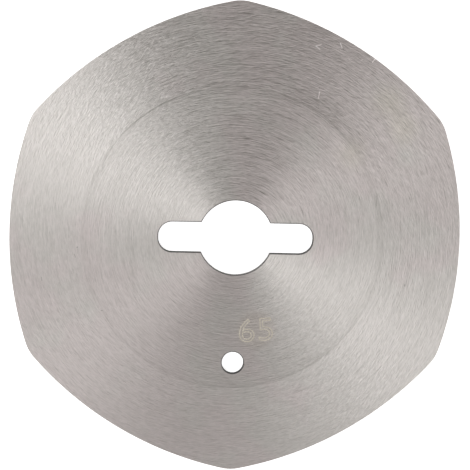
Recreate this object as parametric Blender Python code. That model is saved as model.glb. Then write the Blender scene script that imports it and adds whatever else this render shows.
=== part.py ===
"""Six-sided blade for a 65 mm powered rotary cloth cutter.

One piece of hardened steel sheet. It lies on its back, with the face that carries
the shallow ground taper upwards. The back is at z = 0, the axis of the bore is the
z axis, the two key slots lie along x, and the pin hole is on the -y side.
"""

from math import asin, cos, hypot, pi, radians, sin, sqrt

import bmesh
import bpy

MM = 0.001

# Outline: six bowed sides that meet in rounded corners
SIDES = 6
ACROSS_CORNERS = 65.0 * MM
SIDE_RADIUS = 48.6 * MM
CORNER_RADIUS = 5.5 * MM

# Section: a flat hub, a tapered rim above and a cutting bevel below
THICKNESS = 1.0 * MM
HUB_DIAMETER = 41.6 * MM
TAPER_DROP = 0.5 * MM
EDGE_BEVEL_WIDTH = 1.5 * MM
EDGE_LAND = 0.06 * MM

# Drive: a bore with two key slots, and a hole for the driving pin
BORE_DIAMETER = 10.3 * MM
SLOTS_ACROSS = 21.3 * MM
SLOT_WIDTH = 4.15 * MM
SLOT_END_FLAT = 0.3 * MM
PIN_HOLE_DIAMETER = 3.0 * MM
PIN_HOLE_OFFSET = 17.4 * MM
LIP_CHAMFER = 0.1 * MM

# How finely the arcs are stepped
SIDE_STEPS = 32
CORNER_STEPS = 8
BORE_STEPS = 36
SLOT_END_STEPS = 10
PIN_HOLE_STEPS = 40

# How far a cutter stands out past each face of the blade
CUTTER_OVERRUN = 0.5 * MM

# Steel as it looks under soft light
STEEL_COLOUR = (0.46, 0.44, 0.42, 1.0)
STEEL_ROUGHNESS = 0.34

SMOOTH_LIMIT = radians(15)


def arc(centre, radius, start, end, steps):
    """Points on an arc from the angle start to the angle end, both included."""
    angles = [start + (end - start) * step / steps for step in range(steps + 1)]
    return [(centre[0] + radius * cos(a), centre[1] + radius * sin(a)) for a in angles]


def turned(points, angle):
    """The points turned about the origin."""
    return [(x * cos(angle) - y * sin(angle), x * sin(angle) + y * cos(angle))
            for x, y in points]


def blade_outline(grow=0.0):
    """The outline, moved outwards by grow. One side bows along +x, one corner is at +y."""
    turn = 2 * pi / SIDES
    corner_centre = ACROSS_CORNERS / 2 - CORNER_RADIUS
    corner_x = corner_centre * cos(turn / 2)
    corner_y = corner_centre * sin(turn / 2)
    # The side's arc runs tangent into the corner's, so their centres lie this far apart
    apart = SIDE_RADIUS - CORNER_RADIUS
    side_x = corner_x - sqrt(apart**2 - corner_y**2)
    meet = asin(corner_y / apart)
    side = arc((side_x, 0), SIDE_RADIUS + grow, -meet, meet, SIDE_STEPS)
    corner = arc((corner_x, corner_y), CORNER_RADIUS + grow, meet, turn - meet, CORNER_STEPS)
    # Each arc leaves out its last point, which is the first one of the next arc
    stretch = side[:-1] + corner[:-1]
    outline = []
    for number in range(SIDES):
        outline += turned(stretch, turn * number)
    return outline


def bore_outline(grow=0.0):
    """The bore with its two key slots, moved outwards by grow."""
    end_radius = (SLOT_WIDTH - SLOT_END_FLAT) / 2
    end_x = SLOTS_ACROSS / 2 - end_radius
    end_y = SLOT_END_FLAT / 2
    slot = arc((end_x, -end_y), end_radius + grow, -pi / 2, 0, SLOT_END_STEPS)
    slot += arc((end_x, end_y), end_radius + grow, 0, pi / 2, SLOT_END_STEPS)
    radius = BORE_DIAMETER / 2 + grow
    mouth = asin((SLOT_WIDTH / 2 + grow) / radius)
    half = slot + arc((0, 0), radius, mouth, pi - mouth, BORE_STEPS)
    return half + turned(half, pi)


def pin_hole_outline(grow=0.0):
    """The round hole for the driving pin, moved outwards by grow."""
    ring = arc((0, -PIN_HOLE_OFFSET), PIN_HOLE_DIAMETER / 2 + grow, 0, 2 * pi, PIN_HOLE_STEPS)
    return ring[:-1]


def level(outline, height):
    """An outline as a section at one height."""
    return [(x, y, height) for x, y in outline]


def loft(name, sections):
    """A closed solid through sections of equal length, listed from the bottom up."""
    bm = bmesh.new()
    rings = []
    for section in sections:
        vertices = [bm.verts.new(point) for point in section]
        pairs = zip(vertices, vertices[1:] + vertices[:1])
        rings.append([bm.edges.new(pair) for pair in pairs])
    for lower, upper in zip(rings, rings[1:]):
        bmesh.ops.bridge_loops(bm, edges=lower + upper)
    bmesh.ops.holes_fill(bm, edges=rings[0] + rings[-1], sides=0)
    bmesh.ops.recalc_face_normals(bm, faces=bm.faces)
    mesh = bpy.data.meshes.new(name)
    bm.to_mesh(mesh)
    bm.free()
    return bpy.data.objects.new(name, mesh)


def taper_height(x, y):
    """Height of the tapered face at a point outside the flat hub."""
    hub_radius = HUB_DIAMETER / 2
    slope = TAPER_DROP / (ACROSS_CORNERS / 2 - hub_radius)
    return THICKNESS - slope * (hypot(x, y) - hub_radius)


def make_blank():
    """The blade before its holes are cut: edge bevel, land, taper and flat hub."""
    outline = blade_outline()
    land_height = THICKNESS - TAPER_DROP - EDGE_LAND
    hub_scale = [HUB_DIAMETER / 2 / hypot(x, y) for x, y in outline]
    hub_circle = [(x * scale, y * scale) for (x, y), scale in zip(outline, hub_scale)]
    return loft("blade", [
        level(blade_outline(-EDGE_BEVEL_WIDTH), 0),
        level(outline, land_height),
        [(x, y, taper_height(x, y)) for x, y in outline],
        level(hub_circle, THICKNESS),
    ])


def make_cutter(name, outline):
    """A through cutter that flares at both faces, so that it chamfers their lips."""
    flare = LIP_CHAMFER + CUTTER_OVERRUN
    return loft(name, [
        level(outline(flare), -CUTTER_OVERRUN),
        level(outline(), LIP_CHAMFER),
        level(outline(), THICKNESS - LIP_CHAMFER),
        level(outline(flare), THICKNESS + CUTTER_OVERRUN),
    ])


def cut(body, cutter):
    """Cut the cutter's shape out of the body."""
    modifier = body.modifiers.new(cutter.name, "BOOLEAN")
    modifier.operation = "DIFFERENCE"
    modifier.solver = "EXACT"
    modifier.object = cutter


def apply_cuts(body):
    """Make the cuts part of the body's own mesh."""
    evaluated = body.evaluated_get(bpy.context.evaluated_depsgraph_get())
    mesh = bpy.data.meshes.new_from_object(evaluated)
    mesh.name = body.name
    body.modifiers.clear()
    body.data = mesh


def shade(mesh):
    """Smooth shading on the round walls and the taper, flat on the hub's two faces."""
    mesh.shade_smooth()
    mesh.set_sharp_from_angle(angle=SMOOTH_LIMIT)
    for polygon in mesh.polygons:
        middle = hypot(polygon.center.x, polygon.center.y)
        level_face = abs(polygon.normal.z) > 0.99999
        polygon.use_smooth = not (level_face and middle < HUB_DIAMETER / 2)


def make_steel():
    """Warm grey ground steel."""
    material = bpy.data.materials.new("ground_steel")
    material.use_nodes = True
    shader = material.node_tree.nodes["Principled BSDF"]
    shader.inputs["Base Color"].default_value = STEEL_COLOUR
    shader.inputs["Roughness"].default_value = STEEL_ROUGHNESS
    shader.inputs["Metallic"].default_value = 1.0
    return material


def make_collection(name, objects):
    """A collection in the scene that holds the objects."""
    collection = bpy.data.collections.new(name)
    bpy.context.scene.collection.children.link(collection)
    for thing in objects:
        collection.objects.link(thing)


def main():
    for thing in list(bpy.data.objects):
        bpy.data.objects.remove(thing, do_unlink=True)

    blade = make_blank()
    cutters = [make_cutter("keyed_bore_cutter", bore_outline),
               make_cutter("pin_hole_cutter", pin_hole_outline)]
    make_collection("rotary_cutter_blade", [blade])
    make_collection("cutters", cutters)
    for cutter in cutters:
        cutter.hide_render = True
        cutter.display_type = "WIRE"
        cut(blade, cutter)
    bpy.context.view_layer.update()
    apply_cuts(blade)
    shade(blade.data)
    blade.data.materials.append(make_steel())


main()
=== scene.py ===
# %% [markdown]
# # A six-sided blade for a powered rotary cloth cutter
# The blade is one piece of thin, hardened, ground steel, 65 mm across its corners. Its six
# bowed sides are sharpened from below, its rim is ground down a little from a ring outwards,
# and a bore with two key slots, and a hole for a pin, let the machine drive it.
# The solid is already made to size, and is loaded here as a frame. This lesson dresses it:
# lips that the deburring brush has softened, an engraved size number, a finish for each way
# that the steel was cut or ground, and the light that shows them.

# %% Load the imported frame
from math import cos, e, radians, sin, sqrt, tan

import bmesh
import bpy
from mathutils import Matrix, Vector


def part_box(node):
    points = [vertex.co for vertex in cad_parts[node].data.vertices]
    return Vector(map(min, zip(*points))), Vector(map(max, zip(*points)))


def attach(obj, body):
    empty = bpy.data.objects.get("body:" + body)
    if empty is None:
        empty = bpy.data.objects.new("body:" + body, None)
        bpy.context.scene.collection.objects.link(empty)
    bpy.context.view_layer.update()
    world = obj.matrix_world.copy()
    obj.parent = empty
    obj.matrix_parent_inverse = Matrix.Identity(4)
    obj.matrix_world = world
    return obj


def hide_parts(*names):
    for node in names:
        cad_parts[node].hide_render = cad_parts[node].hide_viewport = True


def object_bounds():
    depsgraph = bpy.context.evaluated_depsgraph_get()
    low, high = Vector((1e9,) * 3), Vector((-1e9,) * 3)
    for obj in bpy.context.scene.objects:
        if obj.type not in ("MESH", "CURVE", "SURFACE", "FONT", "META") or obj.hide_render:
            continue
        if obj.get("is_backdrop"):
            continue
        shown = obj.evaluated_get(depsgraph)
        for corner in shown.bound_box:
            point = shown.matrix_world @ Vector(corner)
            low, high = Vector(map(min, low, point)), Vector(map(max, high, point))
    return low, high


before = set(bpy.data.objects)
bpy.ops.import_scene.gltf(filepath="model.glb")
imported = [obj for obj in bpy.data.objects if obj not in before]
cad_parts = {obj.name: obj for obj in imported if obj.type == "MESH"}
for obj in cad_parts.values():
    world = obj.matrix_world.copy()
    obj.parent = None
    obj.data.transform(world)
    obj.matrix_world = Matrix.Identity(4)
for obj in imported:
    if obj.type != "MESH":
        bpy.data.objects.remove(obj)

MM = 0.001
scene = bpy.context.scene
cad_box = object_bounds()
low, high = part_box("blade")
TOP = high.z
print("the blade measures, in mm:", [round(side / MM, 2) for side in high - low])

# %% [markdown]
# ## The camera
# A product picture of something flat is taken from nearly straight above with a long lens,
# which keeps the six corners alike. This camera leans a few degrees off the bore's axis, so
# the walls on one side of each hole show as thin lines, and it is rolled by about a degree.
# A Track To constraint could aim it, but its three axes are written out instead, because the
# roll is then one more turn about the line of sight.

# %% Aim and place the camera
CAMERA_DISTANCE = 300 * MM
CAMERA_TARGET = Vector((-0.05, 0.28, 0.0)) * MM
LEAN_TO_TOP = radians(6.4)
LEAN_TO_LEFT = radians(2.7)
CAMERA_ROLL = radians(1.42)
FOCAL_LENGTH = 166.55

line_of_sight = Vector((-sin(LEAN_TO_LEFT), sin(LEAN_TO_TOP), 0))
line_of_sight.z = sqrt(1 - line_of_sight.length_squared)
upright = (Vector((0, 1, 0)) - line_of_sight * line_of_sight.y).normalized()
across = upright.cross(line_of_sight)
level_view = Matrix((across, upright, line_of_sight)).transposed()
rolled_view = level_view @ Matrix.Rotation(CAMERA_ROLL, 3, "Z")
camera = bpy.data.objects.new("camera", bpy.data.cameras.new("camera"))
camera.data.lens = FOCAL_LENGTH
camera_place = CAMERA_TARGET + line_of_sight * CAMERA_DISTANCE
camera.matrix_world = Matrix.LocRotScale(camera_place, rolled_view, None)
scene.collection.objects.link(camera)
scene.camera = camera
scene.view_settings.view_transform = "Standard"
print("the camera stands at, in mm:", [round(place / MM) for place in camera_place])

# %% [markdown]
# ## Blade body with softened lips
# On the real blade every lip has been brushed, so none is a perfect corner and each one
# catches a hair of light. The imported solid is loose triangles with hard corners. A Bevel
# modifier on it would round nothing, because no two triangles share an edge yet. So a copy
# is merged, its flat faces are joined again, and bmesh bevels only the edges that turn
# sharply. The shallow ring where the taper starts stays crisp.
# The drawing puts that ring about the bore, but the grinder's chuck seldom runs dead true:
# on this blade the ring sits half a millimetre to one side, so its corners are moved.

# %% Merge a copy of the solid, shift its ring and soften its lips
MERGE_DISTANCE = 0.0005 * MM
FLAT_ANGLE = radians(0.05)
LIP_ANGLE = radians(25)
LIP_ROUNDING = 0.02 * MM
LIP_SEGMENTS = 2
RING_RADIUS = 20.8 * MM
RING_SHIFT = Vector((-0.5, -0.1, 0)) * MM
RING_REACH = 0.05 * MM

bm = bmesh.new()
bm.from_mesh(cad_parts["blade"].data)
bmesh.ops.remove_doubles(bm, verts=bm.verts, dist=MERGE_DISTANCE)
bmesh.ops.dissolve_limit(bm, angle_limit=FLAT_ANGLE, verts=bm.verts, edges=bm.edges)
ring = [vertex for vertex in bm.verts if abs(vertex.co.xy.length - RING_RADIUS) < RING_REACH]
bmesh.ops.translate(bm, verts=ring, vec=RING_SHIFT)
lips = [edge for edge in bm.edges if edge.calc_face_angle(0) > LIP_ANGLE]
bmesh.ops.bevel(bm, geom=lips, offset=LIP_ROUNDING, segments=LIP_SEGMENTS, profile=0.5,
                affect="EDGES", material=-1, clamp_overlap=True)
print("moved", len(ring), "corners; softened", len(lips), "lip edges;", len(bm.faces), "faces")
blade = bpy.data.objects.new("ground_blade", bpy.data.meshes.new("ground_blade"))
bm.to_mesh(blade.data)
bm.free()
scene.collection.objects.link(blade)

# %% [markdown]
# ## The size number
# The face carries the blade's size in millimetres as two plain engraved figures, drawn by
# the engraver as double lines. A bump texture could fake them, but real grooves are in the
# mesh for anyone who uses it. A text object gives the figures. They are made a mesh, an
# inset leaves a band along their outline, and the band is extruded into a cutter.

# %% Draw the figures and turn their outline into a cutter
NUMBER = "65"
FIGURE_SIZE = 4.6
FIGURE_WIDENING = 1.1
FIGURE_SPACING = 1.06
CURVE_STEPS = 4
STROKE_SWELL = 0.03
LINE_WIDTH = 0.15
CORNER_GAP = 0.02
ENGRAVED_DEPTH = 0.03
CUTTER_HEIGHT = 0.2
NUMBER_PLACE = (3.08, -12.75)
NUMBER_TURN = radians(5.5)

text = bpy.data.curves.new("number", "FONT")
text.body = NUMBER
text.size = FIGURE_SIZE
text.space_character = FIGURE_SPACING
text.offset = STROKE_SWELL
text.resolution_u = CURVE_STEPS
writing = bpy.data.objects.new("number", text)
scene.collection.objects.link(writing)
bpy.context.view_layer.update()
written = writing.evaluated_get(bpy.context.evaluated_depsgraph_get())
figures = bpy.data.meshes.new_from_object(written)
bpy.data.objects.remove(writing)

bm = bmesh.new()
bm.from_mesh(figures)
bmesh.ops.remove_doubles(bm, verts=bm.verts, dist=CORNER_GAP)
band = bmesh.ops.inset_region(bm, faces=bm.faces, thickness=LINE_WIDTH,
                              use_boundary=True, use_even_offset=True)["faces"]
bmesh.ops.delete(bm, geom=list(set(bm.faces) - set(band)), context="FACES")
raised = bmesh.ops.extrude_face_region(bm, geom=bm.faces[:], use_keep_orig=True)["geom"]
top_corners = [item for item in raised if isinstance(item, bmesh.types.BMVert)]
bmesh.ops.translate(bm, verts=top_corners, vec=(0, 0, CUTTER_HEIGHT))
bmesh.ops.recalc_face_normals(bm, faces=bm.faces)
xs = [vertex.co.x for vertex in bm.verts]
ys = [vertex.co.y for vertex in bm.verts]
middle = Vector(((min(xs) + max(xs)) / 2, (min(ys) + max(ys)) / 2, 0))
bmesh.ops.translate(bm, verts=bm.verts, vec=-middle)
bmesh.ops.scale(bm, verts=bm.verts, vec=(FIGURE_WIDENING, 1, 1))
bmesh.ops.rotate(bm, verts=bm.verts, cent=(0, 0, 0),
                 matrix=Matrix.Rotation(NUMBER_TURN, 3, "Z"))
bmesh.ops.translate(bm, verts=bm.verts, vec=(*NUMBER_PLACE, TOP / MM - ENGRAVED_DEPTH))
bmesh.ops.scale(bm, verts=bm.verts, vec=(MM, MM, MM))
graver = bpy.data.objects.new("graver", bpy.data.meshes.new("graver"))
bm.to_mesh(graver.data)
bm.free()
scene.collection.objects.link(graver)
print("the figures are", round(max(ys) - min(ys), 2), "mm tall")

# %% Cut the figures into the blade
cut = blade.modifiers.new("number", "BOOLEAN")
cut.operation = "DIFFERENCE"
cut.solver = "EXACT"
cut.object = graver
bpy.context.view_layer.update()
engraved = blade.evaluated_get(bpy.context.evaluated_depsgraph_get())
engraved_mesh = bpy.data.meshes.new_from_object(engraved)
blade.modifiers.clear()
blade.data = engraved_mesh
blade.data.name = "ground_blade"
bpy.data.objects.remove(graver)
print("the engraved blade has", len(blade.data.polygons), "faces")

# %% [markdown]
# ## Shader sums that read like formulas
# A grinding streak is a long sum of Math nodes. Linked one by one they would hide the idea,
# so one small class stands for an output socket, and writing 1 - mask or streak * 0.2 on it
# adds the Math nodes. Colours go through Mix nodes, because a Math node turns them grey.

# %% A socket that can be used in sums
class Signal:
    """One output of a shader node. Sums written on it add the nodes that work them out."""

    def __init__(self, tree, socket=None):
        self.tree = tree
        self.socket = socket

    def node(self, kind, settings, inputs, output=0):
        """Add a node, set it up, feed its inputs, and give back one of its outputs."""
        made = self.tree.nodes.new("ShaderNode" + kind)
        for name, value in settings.items():
            setattr(made, name, value)
        for name, value in inputs.items():
            if isinstance(value, Signal):
                self.tree.links.new(value.socket, made.inputs[name])
            else:
                made.inputs[name].default_value = value
        return Signal(self.tree, made.outputs[output])

    def math(self, operation, *values):
        """One Math node on the values."""
        return self.node("Math", {"operation": operation}, dict(enumerate(values)))

    def __add__(self, other):
        return self.math("ADD", self, other)

    def __radd__(self, other):
        return self.math("ADD", other, self)

    def __sub__(self, other):
        return self.math("SUBTRACT", self, other)

    def __rsub__(self, other):
        return self.math("SUBTRACT", other, self)

    def __mul__(self, other):
        return self.math("MULTIPLY", self, other)

    def __rmul__(self, other):
        return self.math("MULTIPLY", other, self)

    def __truediv__(self, other):
        return self.math("DIVIDE", self, other)

    def __abs__(self):
        return self.math("ABSOLUTE", self)

    def rise(self, start, end):
        """A smooth step from 0 at start to 1 at end."""
        settings = {"interpolation_type": "SMOOTHSTEP"}
        limits = {"Value": self, "From Min": start, "From Max": end}
        return self.node("MapRange", settings, limits)

    def between(self, first, second):
        """This share of the way from the first value to the second."""
        return first + self * (second - first)

    def tint(self, first, second):
        """Two colours mixed by this share. Past 0 or 1 it goes on beyond them."""
        settings = {"data_type": "RGBA", "clamp_factor": False}
        return self.node("Mix", settings, {0: self, 6: first, 7: second}, 2)

    def stain(self, colour):
        """This colour seen through another one."""
        settings = {"data_type": "RGBA", "blend_type": "MULTIPLY"}
        return self.node("Mix", settings, {0: 1.0, 6: self, 7: colour}, 2)


def start_finish(name, numbers):
    """A new material, the inputs of its Principled shader, and a blank signal to build on."""
    material = bpy.data.materials.new(name)
    material.use_nodes = True
    sockets = material.node_tree.nodes["Principled BSDF"].inputs
    for socket, number in numbers.items():
        sockets[socket].default_value = number
    return material, sockets, Signal(material.node_tree)


def feed(signal, socket):
    """Link a signal to an input of the shader."""
    signal.tree.links.new(signal.socket, socket)


# %% [markdown]
# ## Where a point of the blade lies
# Every grinding mark on this blade follows the bore, so the patterns are drawn on Object
# coordinates, whose origin is on the bore's axis, and on the distance from that axis. In
# millimetres the numbers that follow can be checked with a ruler.

# %% Place and radius in millimetres
def blade_place(blank):
    """The shaded point seen from above, in millimetres: as a vector, and its x and y."""
    metres = blank.node("TexCoord", {}, {}, "Object")
    flattening = (1 / MM, 1 / MM, 0)
    flat = blank.node("VectorMath", {"operation": "MULTIPLY"}, {0: metres, 1: flattening})
    x = blank.node("SeparateXYZ", {}, {0: flat}, "X")
    y = blank.node("SeparateXYZ", {}, {0: flat}, "Y")
    return flat, x, y


def upper_face(blank, reach):
    """1 on the worked face of the blade, and 0 within reach of its flat back."""
    metres = blank.node("TexCoord", {}, {}, "Object")
    return blank.node("SeparateXYZ", {}, {0: metres}, "Z").rise(reach, 2 * reach)


def distance(flat, centre):
    """How far the point is from a place in the same plane, in millimetres."""
    return flat.node("VectorMath", {"operation": "DISTANCE"}, {0: flat, 1: centre}, "Value")


# %% [markdown]
# ## Streaks that run round, and streaks that lean
# The flat hub was ground while the blade turned, so its scratches are arcs about the bore.
# A polar angle would be the plain way to stretch noise along them, but it tears open along
# one seam. Noise in three dimensions needs no angle: fed with x, y and a much stretched
# radius, it changes slowly along an arc and fast across it.
# On the rim the wheel crossed the blade's own turning, and the scratches drift inwards as
# they run round. Turning each point by an angle that grows with the logarithm of its radius
# straightens such spirals into spokes, again with no seam. The noise there has a third and a
# fourth direction, fed slowly with x and y, and they give each scratch its ends.

# %% The two kinds of streak
STREAK_DETAIL = 1.0
STREAK_ROUGHNESS = 0.55


def round_streaks(x, y, radius, width, length, shift):
    """Noise about 0, drawn out round the bore: width across and length along, in mm."""
    place = x.node("CombineXYZ", {}, {0: x / length, 1: y / length, 2: radius / width + shift})
    amounts = {"Vector": place, "Scale": 1.0,
               "Detail": STREAK_DETAIL, "Roughness": STREAK_ROUGHNESS}
    return x.node("TexNoise", {}, amounts) - 0.5


def leaning_streaks(flat, x, y, radius, lean, width, length, shift):
    """Noise about 0, drawn out along spirals that drift inwards by the angle lean."""
    turn = x.math("LOGARITHM", radius, e) / tan(lean)
    spun = x.node("VectorRotate", {"rotation_type": "Z_AXIS"}, {"Vector": flat, "Angle": turn})
    spokes = x.node("VectorMath", {"operation": "SCALE"}, {0: spun, "Scale": sin(lean) / width})
    along = x.node("CombineXYZ", {}, {2: x / length})
    place = x.node("VectorMath", {"operation": "ADD"}, {0: spokes, 1: along})
    amounts = {"Vector": place, "W": y / length + shift, "Scale": 1.0,
               "Detail": STREAK_DETAIL, "Roughness": STREAK_ROUGHNESS}
    return x.node("TexNoise", {"noise_dimensions": "4D"}, amounts) - 0.5


# %% [markdown]
# ## Ground steel
# Ground steel is a mirror broken by countless scratches that run the same way. They smear a
# lamp's light at right angles to themselves, and because these run round the bore, the
# smears join into light and dark fans that meet there. The Principled shader's Anisotropic
# value does this. Its own grain direction already runs round the middle of a piece, and a
# quarter turn lays the smear across it, so no Tangent node is needed.
# The streaks then change the steel's brightness, roughness and height a little, more so on
# the side that the wheel left coarser. Heat leaves faint straw stains, handling a pale patch
# about the number, and a faint rosy tint lies in two opposite fans along one line through
# the bore, with faint green between them. One stretch of the rim carries painted shade and
# one a painted highlight. The taper's start shows as a thin broken line of painted shade
# along its crease, darker in some stretches, with a soft band of painted shade just inside
# it. A few short scratches and specks are real wear. The flat back has the round streaks,
# the faint tints and the straw stains alone.

# %% Sizes and strengths of the grinding marks
# Width across, length along and place in the noise, in millimetres
SHORT_STREAK = (0.17, 0.8, 0.0)
LONG_STREAK = (0.16, 2.5, 7.3)
WIDE_STREAK = (0.6, 12.0, 3.1)
DEEP_SCORE = (0.16, 2.2, 5.9)
SHORT_SHARE = 0.8
LONG_SHARE = 0.8
WIDE_SHARE = 0.3
RIM_LEAN = radians(8)
RIM_GAIN = 1.3
SCORE_START = 0.10
SCORE_FULL = 0.30
# The side that the wheel left coarser, and how much it adds there
COARSE_SIDE = radians(65)
COARSE_START = 0.2
COARSE_FULL = 0.95
EVEN_STREAKS = 1.12
COARSE_STREAKS = 0.5
EVEN_SCORES = 0.4
COARSE_SCORES = 0.6
# What the marks do to the steel
BASE_BRIGHTNESS = 0.55
STREAK_CONTRAST = 1.3
SCORE_CONTRAST = 1.3
STREAK_ROUGHENING = 0.12
STREAK_HEIGHT = 0.05

# %% The ring where the taper starts, and the rim past it
RING_BLEND = 0.1
# What the bump adds to the rim's own slope, as a fall over a run
GRIND_TILT = 0.03
# Painted shade along the crease where the taper starts: a thin dark line, darker in some
# stretches
RING_SHADE_LINE_REACH = 0.16
RING_SHADE_LINE_CORE = 0.04
RING_SHADE_LINE_CONTRAST = 1.2
# Painted shade: a soft dark band just inside that crease
RING_SHADE_REACH = 1.0
RING_SHADE_CORE = 0.1
RING_SHADE_CONTRAST = 0.15
# Azimuth and reach in degrees, and how much painted shade darkens the line there
RING_SHADE_STRETCHES = [
    (20, 18, 0.25),
    (55, 22, 0.30),
    (95, 20, 0.30),
    (126, 16, 0.90),
    (150, 14, 0.30),
    (272, 20, 0.20),
    (308, 26, 0.35),
    (350, 26, 0.25),
]
# Painted light on the rim: azimuth and reach in degrees, width in millimetres, and how much
# brighter the rim is painted as a highlight; below 0 it is painted shade
PAINTED_RIM_LIGHT_AND_SHADE = [
    (53, 26, 4.0, -0.45),
    (310, 34, 30.0, 0.30),
]
BACK_REACH = 0.1 * MM

# %% Colours of the steel and its stains
BRIGHT_STEEL = (0.713, 0.678, 0.666, 1.0)
DULL_STEEL = (0.53, 0.505, 0.49, 1.0)
STEEL_ROUGHNESS = 0.42
STEEL_ANISOTROPY = 0.9
QUARTER_TURN = 0.25
# A faint rosy tint in two opposite fans along ROSY_AXIS through the bore, and faint green
# between them
ROSY_TINT = (1.0, 0.972, 0.975, 1.0)
GREEN_TINT = (0.985, 0.995, 0.980, 1.0)
STRAW_STAIN = (1.0, 0.985, 0.94, 1.0)
NUMBER_STAIN = (0.955, 0.935, 0.905, 1.0)
CLOUD_SCALE = 0.12
CLOUD_DETAIL = 2.0
ROSY_AXIS = radians(52)
ROSY_CLOUDS = 1.8
ROSY_START = 0.50
ROSY_FULL = 0.95
# Place and reach of each straw stain, in millimetres
STRAW_SPOTS = [
    ((20.7, 18.8), 3.5),
    ((22.6, 15.8), 3.0),
    ((15.8, 12.2), 3.5),
]
STRAW_CLOUDS = 4.0
NUMBER_STAIN_REACH = 3.4
NUMBER_STAIN_CORE = 1.8

# %% Wear: short scratches, bright or dark, from one end to the other
SCRATCH_WIDTH = 0.09
SCRATCHES = [
    ((10.35, 26.5), (11.1, 26.8), 2.0),
    ((10.35, 26.5), (10.9, 26.1), 2.2),
    ((13.7, 26.95), (13.95, 26.35), 2.4),
    ((14.0, 26.3), (14.3, 26.0), -1.0),
    ((18.55, 25.0), (18.15, 24.5), 2.2),
    ((16.65, 24.8), (16.8, 24.8), 1.6),
    ((11.0, 20.3), (10.85, 19.4), 2.2),
    ((11.0, 20.85), (11.0, 20.8), -1.4),
    ((-21.7, -1.7), (-21.75, -1.75), -1.8),
    ((-22.1, -2.7), (-21.95, -3.1), -0.9),
    ((-26.55, -6.0), (-26.5, -6.45), -0.9),
    ((-18.3, -10.4), (-18.1, -10.45), -1.2),
    ((23.6, -6.1), (23.6, -6.3), -1.5),
    ((19.3, 6.2), (19.3, 4.85), -0.7),
]


def scratch(x, y, start, end, strength):
    """How much one short straight scratch brightens, or darkens, the steel here."""
    run = (end[0] - start[0], end[1] - start[1])
    length_squared = run[0]**2 + run[1]**2
    from_x = x - start[0]
    from_y = y - start[1]
    share = (from_x * run[0] + from_y * run[1]) / length_squared
    share = x.node("Clamp", {}, {0: share})
    aside_x = from_x - share * run[0]
    aside_y = from_y - share * run[1]
    return (aside_x * aside_x + aside_y * aside_y).rise(SCRATCH_WIDTH**2, 0) * strength


def wear(x, y):
    """All the scratches together."""
    worn = 0
    for start, end, strength in SCRATCHES:
        worn = worn + scratch(x, y, start, end, strength)
    return worn


# %% Marks that depend on the direction from the bore
def facing(outwards, azimuth):
    """The cosine of the angle between this point's direction and an azimuth."""
    aim = (cos(azimuth), sin(azimuth), 0)
    settings = {"operation": "DOT_PRODUCT"}
    return outwards.node("VectorMath", settings, {0: outwards, 1: aim}, "Value")


def stretch(outwards, azimuth, reach, core):
    """1 about an azimuth in degrees, and 0 past reach; core is the share that stays 1."""
    nearness = facing(outwards, radians(azimuth))
    return nearness.rise(cos(radians(reach)), cos(radians(reach * core)))


def painted_ring_shade_depth(outwards):
    """How much painted shade darkens the line at the taper's start, in the direction of this
    point.
    """
    depth = 0
    for azimuth, reach, strength in RING_SHADE_STRETCHES:
        depth = depth + stretch(outwards, azimuth, reach, 1 / 2) * strength
    return depth


def painted_rim_light_and_shade(outwards, past_ring):
    """The painted highlight and painted shade on the rim in this direction: above 0 brighter,
    below 0 darker.
    """
    cast = 0
    for azimuth, reach, width, strength in PAINTED_RIM_LIGHT_AND_SHADE:
        share = stretch(outwards, azimuth, reach, 1 / 3) * past_ring.rise(width, 0)
        cast = cast + share * strength
    return cast


def grinding(flat, x, y, outwards, rim):
    """The fine streaks, and the rarer deep scores: round on the hub, leaning on the rim."""
    radius = distance(flat, (0, 0, 0))
    short = round_streaks(x, y, radius, *SHORT_STREAK)
    crossing = leaning_streaks(flat, x, y, radius, RIM_LEAN, *SHORT_STREAK)
    long = round_streaks(x, y, radius, *LONG_STREAK)
    wide = round_streaks(x, y, radius, *WIDE_STREAK)
    round_scores = round_streaks(x, y, radius, *DEEP_SCORE)
    crossing_scores = leaning_streaks(flat, x, y, radius, RIM_LEAN, *DEEP_SCORE)

    coarse = facing(outwards, COARSE_SIDE).rise(COARSE_START, COARSE_FULL)
    fine = rim.between(short, crossing * RIM_GAIN)
    streaks = fine * SHORT_SHARE + long * LONG_SHARE + wide * WIDE_SHARE
    scores = rim.between(round_scores, crossing_scores).rise(SCORE_START, SCORE_FULL)
    return (streaks * (coarse * COARSE_STREAKS + EVEN_STREAKS),
            scores * (coarse * COARSE_SCORES + EVEN_SCORES))


def stains(flat, outwards, upper):
    """The tints over the steel: rosy fans about the bore with green between them, straw stains
    from heat, and a pale patch about the number from handling.
    """
    amounts = {"Vector": flat, "Scale": CLOUD_SCALE, "Detail": CLOUD_DETAIL}
    clouds = flat.node("TexNoise", {}, amounts) - 0.5
    rosy = abs(facing(outwards, ROSY_AXIS)) + clouds * ROSY_CLOUDS
    stained = rosy.rise(ROSY_START, ROSY_FULL).tint(GREEN_TINT, ROSY_TINT)
    for place, reach in STRAW_SPOTS:
        straw = distance(flat, (*place, 0)) + clouds * STRAW_CLOUDS
        stained = straw.rise(reach, 0).tint(stained, STRAW_STAIN)
    from_number = distance(flat, (*NUMBER_PLACE, 0))
    handled = from_number.rise(NUMBER_STAIN_REACH, NUMBER_STAIN_CORE) * upper
    return handled.tint(stained, NUMBER_STAIN)


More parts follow.
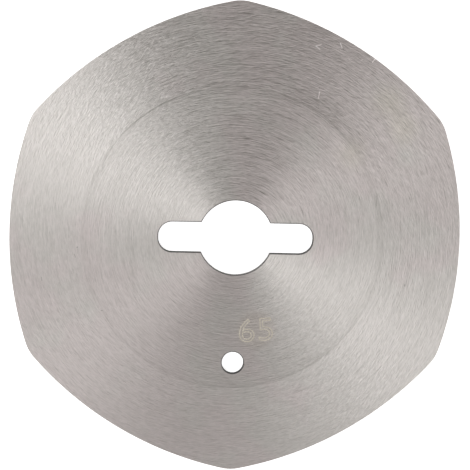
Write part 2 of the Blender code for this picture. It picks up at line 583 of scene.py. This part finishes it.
# %% Write the ground finish
def ground_finish():
    """Bright steel with its grinding marks, the taper's ring, stains and scratches."""
    material, sockets, blank = start_finish("ground_steel_finish", {
        "Metallic": 1.0,
        "Anisotropic": STEEL_ANISOTROPY,
        "Anisotropic Rotation": QUARTER_TURN,
    })
    flat, x, y = blade_place(blank)
    outwards = flat.node("VectorMath", {"operation": "NORMALIZE"}, {0: flat})
    upper = upper_face(blank, BACK_REACH)
    past_ring = distance(flat, RING_SHIFT / MM) - RING_RADIUS / MM
    rim = past_ring.rise(-RING_BLEND, RING_BLEND) * upper
    streaks, scores = grinding(flat, x, y, outwards, rim)

    # Painted shade: a thin dark line along the taper's crease, darker in some directions
    painted_ring_shade_line = abs(past_ring).rise(RING_SHADE_LINE_REACH, RING_SHADE_LINE_CORE) * painted_ring_shade_depth(outwards)
    # Painted shade: a soft dark band just inside the taper's crease, on the worked face
    ring_shade = past_ring.rise(-RING_SHADE_REACH, -RING_SHADE_CORE) * (upper - rim)
    brightness = BASE_BRIGHTNESS + streaks * STREAK_CONTRAST - scores * SCORE_CONTRAST
    brightness = brightness - painted_ring_shade_line * upper * RING_SHADE_LINE_CONTRAST
    brightness = brightness - ring_shade * RING_SHADE_CONTRAST
    # Painted highlight and painted shade on two stretches of the rim, and real scratches on the
    # worked face
    brightness = brightness + painted_rim_light_and_shade(outwards, past_ring) * rim + wear(x, y) * upper
    steel = brightness.tint(DULL_STEEL, BRIGHT_STEEL)
    feed(steel.stain(stains(flat, outwards, upper)), sockets["Base Color"])
    feed(STEEL_ROUGHNESS + streaks * STREAK_ROUGHENING, sockets["Roughness"])

    fall = past_ring.math("MAXIMUM", past_ring, 0.0) * upper
    height = streaks * STREAK_HEIGHT - fall * GRIND_TILT
    bump = blank.node("Bump", {}, {"Height": height, "Distance": MM})
    feed(bump, sockets["Normal"])
    return material


# %% [markdown]
# ## The other finishes
# Not all of the steel is ground the same way. The key slots and the pin hole were punched
# before hardening and nobody cleans them, so their walls stay dark and rough, and they are
# painted nearly black besides, as painted shade inside the holes. The bore has to run true
# on its hub, so it is reamed. The lips of all three were brushed, and they are painted dark
# as painted shade, so each hole shows a thin dark line round it. The cutting bevel
# underneath is honed along its edge, and the engraved grooves have a pale, matt floor.

# %% Five small finishes
GRAIN_DETAIL = 3.0
GRAIN_CONTRAST = 2
GRAIN_ROUGHENING = 0.2


def plain_finish(name, colour, metallic, roughness, grain_scale, grain_share):
    """A finish with one colour, made uneven by a fine grain in colour and roughness."""
    material, sockets, blank = start_finish(name, {"Metallic": metallic})
    place = blank.node("TexCoord", {}, {}, "Object")
    amounts = {"Vector": place, "Scale": grain_scale / MM, "Detail": GRAIN_DETAIL}
    grain = blank.node("TexNoise", {}, amounts) - 0.5
    dark = tuple(part * (1 - grain_share) for part in colour) + (1.0,)
    light = tuple(min(1.0, part * (1 + grain_share)) for part in colour) + (1.0,)
    feed((0.5 + grain * GRAIN_CONTRAST).tint(dark, light), sockets["Base Color"])
    feed(roughness + grain * GRAIN_ROUGHENING, sockets["Roughness"])
    return material


# Name, colour, metallic, roughness, and the grain's lumps to a millimetre and strength
FINISHES = [
    ground_finish(),
    plain_finish("engraved_groove", (0.645, 0.60, 0.515), 0.3, 0.6, 6.0, 0.15),
    # Painted shade: the punched walls are dark unground steel, and painted nearly black for the
    # shade inside the holes as well
    plain_finish("punched_wall_painted_shade", (0.015, 0.014, 0.013), 0.0, 0.8, 4.0, 0.3),
    plain_finish("reamed_wall", (0.30, 0.29, 0.28), 0.0, 0.5, 5.0, 0.1),
    # Painted shade: the brushed lips round the holes are painted dark, so each hole shows a
    # thin dark line
    plain_finish("brushed_lip_painted_shade", (0.13, 0.125, 0.12), 0.2, 0.6, 5.0, 0.15),
    plain_finish("honed_bevel", (0.66, 0.645, 0.63), 1.0, 0.22, 3.0, 0.12),
]
GROUND, GROOVE, PUNCHED, REAMED, LIP, HONED = range(len(FINISHES))
print("nodes in each finish:", [len(finish.node_tree.nodes) for finish in FINISHES])

# %% Give each face its finish
OUTSIDE_HOLES = 24.0 * MM
BORE_REACH = 5.3 * MM
NUMBER_REACH = 3.8 * MM
GROOVE_TOP = TOP - 0.001 * MM
FLAT_FACE = 0.99999
SLOPING_LIP = 0.98
UPRIGHT_WALL = 0.5
SHARP_ANGLE = radians(15)


def finish_of(face):
    """Which finish a face of the blade has, from its place and the way it looks."""
    middle = face.center.xy.length
    steepness = abs(face.normal.z)
    if middle > OUTSIDE_HOLES:
        return HONED if -FLAT_FACE < face.normal.z < UPRIGHT_WALL else GROUND
    if (face.center.xy - Vector(NUMBER_PLACE) * MM).length < NUMBER_REACH:
        return GROOVE if TOP / 2 < face.center.z < GROOVE_TOP else GROUND
    if steepness < UPRIGHT_WALL:
        return REAMED if middle < BORE_REACH else PUNCHED
    # The lips round the holes take the finish that is painted dark as their shade
    return LIP if steepness < SLOPING_LIP else GROUND


for finish in FINISHES:
    blade.data.materials.append(finish)
blade.data.shade_smooth()
blade.data.set_sharp_from_angle(angle=SHARP_ANGLE)
for polygon in blade.data.polygons:
    polygon.material_index = finish_of(polygon)
    if abs(polygon.normal.z) > FLAT_FACE:
        polygon.use_smooth = False
print("faces per finish:", [sum(p.material_index == number for p in blade.data.polygons)
                            for number in range(len(FINISHES))])
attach(blade, "root")
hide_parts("blade")

# %% [markdown]
# ## Floor
# The blade lies on white paper that fills the picture. Lighting paper until it is white
# would wash out the steel, so the paper is a plain pale sheet that also glows a little, and
# only for rays that come from the camera, from metal or through glass. The lamps still
# light it, so the blade keeps its thin shadow. It lies a hair below the blade, because two
# faces in the same plane would speckle.

# %% White paper
FLOOR_SIZE = 4.0
PAPER_COLOUR = (0.8, 0.8, 0.8, 1.0)
PAPER_ROUGHNESS = 0.9
PAPER_GLOW = 0.8
GLOW_COLOUR = (1.0, 1.0, 1.0, 1.0)
PAPER_GAP = 0.01 * MM

bm = bmesh.new()
bmesh.ops.create_grid(bm, x_segments=1, y_segments=1, size=FLOOR_SIZE / 2)
bmesh.ops.translate(bm, verts=bm.verts, vec=(0, 0, low.z - PAPER_GAP))
floor = bpy.data.objects.new("floor", bpy.data.meshes.new("floor"))
bm.to_mesh(floor.data)
bm.free()
scene.collection.objects.link(floor)
paper, paper_sockets, blank = start_finish("white_paper", {
    "Base Color": PAPER_COLOUR,
    "Roughness": PAPER_ROUGHNESS,
    "Emission Color": GLOW_COLOUR,
})
seen = blank.node("LightPath", {}, {}, "Is Camera Ray")
seen = seen.math("MAXIMUM", seen, blank.node("LightPath", {}, {}, "Is Glossy Ray"))
seen = seen.math("MAXIMUM", seen, blank.node("LightPath", {}, {}, "Is Transmission Ray"))
feed(seen * PAPER_GLOW, paper_sockets["Emission Strength"])
floor.data.materials.append(paper)
floor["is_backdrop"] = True
print("the paper is", FLOOR_SIZE, "m wide and lies", PAPER_GAP / MM, "mm below the blade")

# %% [markdown]
# ## Light
# Fans of light on ground steel show where the lamps stand: steel at some angle round the
# bore shines when a lamp stands at that angle or opposite it. So the lamps ring the table,
# strong on the left and weaker on the right and in front, and nothing stands behind, which
# leaves the dark wedge above the bore. Tall soft boxes, set high, let the fans keep their
# length without a glare that would bleach the blade from lower down. The dim warm room fills
# what they leave.

# %% Sizes and places of the lamps
ROOM_COLOUR = (1.0, 0.95, 0.91, 1.0)
ROOM_STRENGTH = 0.24
BOX_DISTANCE = 600 * MM
BOX_ELEVATION = radians(52)
BOX_WIDTH = 300 * MM
BOX_HEIGHT = 560 * MM
# Name, azimuth in degrees anticlockwise from +x, and power in watts
SOFT_BOXES = [
    ("right_box", 20, 0.315),
    ("left_box", 140, 0.35),
    ("left_middle_box", 160, 0.55),
    ("far_left_box", 180, 0.275),
    ("near_left_box", 220, 0.295),
    ("front_left_box", 240, 0.235),
    ("front_box", 280, 0.235),
    ("front_middle_box", 300, 0.07),
    ("front_right_box", 320, 0.225),
    ("far_right_box", 340, 0.18),
]

# %% The room and its soft boxes
world = bpy.data.worlds.new("studio")
scene.world = world
world.use_nodes = True
world.node_tree.nodes["Background"].inputs["Color"].default_value = ROOM_COLOUR
world.node_tree.nodes["Background"].inputs["Strength"].default_value = ROOM_STRENGTH


def add_soft_box(name, azimuth, power):
    """A tall soft box that looks down at the blade from one side."""
    data = bpy.data.lights.new(name, "AREA")
    data.shape = "ELLIPSE"
    data.size = BOX_WIDTH
    data.size_y = BOX_HEIGHT
    data.energy = power
    around = radians(azimuth)
    level = Vector((cos(around), sin(around), 0))
    towards_box = level * cos(BOX_ELEVATION) + Vector((0, 0, sin(BOX_ELEVATION)))
    box = bpy.data.objects.new(name, data)
    box.location = towards_box * BOX_DISTANCE
    box.rotation_euler = towards_box.to_track_quat("Z", "Y").to_euler()
    scene.collection.objects.link(box)


for soft_box in SOFT_BOXES:
    add_soft_box(*soft_box)
print(len(SOFT_BOXES), "soft boxes of", round(sum(row[2] for row in SOFT_BOXES), 2), "W in all")

# %% [markdown]
# ## Last measurements
# The dressed blade's box is measured, and how far its upper corner grew past the imported
# solid's box is printed. The dressed blade has to stay inside the imported solid's box.

# %% Print how far the box grew
blade_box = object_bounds()
grown = [round((dressed - bare) / MM, 4) for dressed, bare in zip(blade_box[1], cad_box[1])]
print("the dressing grew the upper corner of the box by, in mm:", grown)
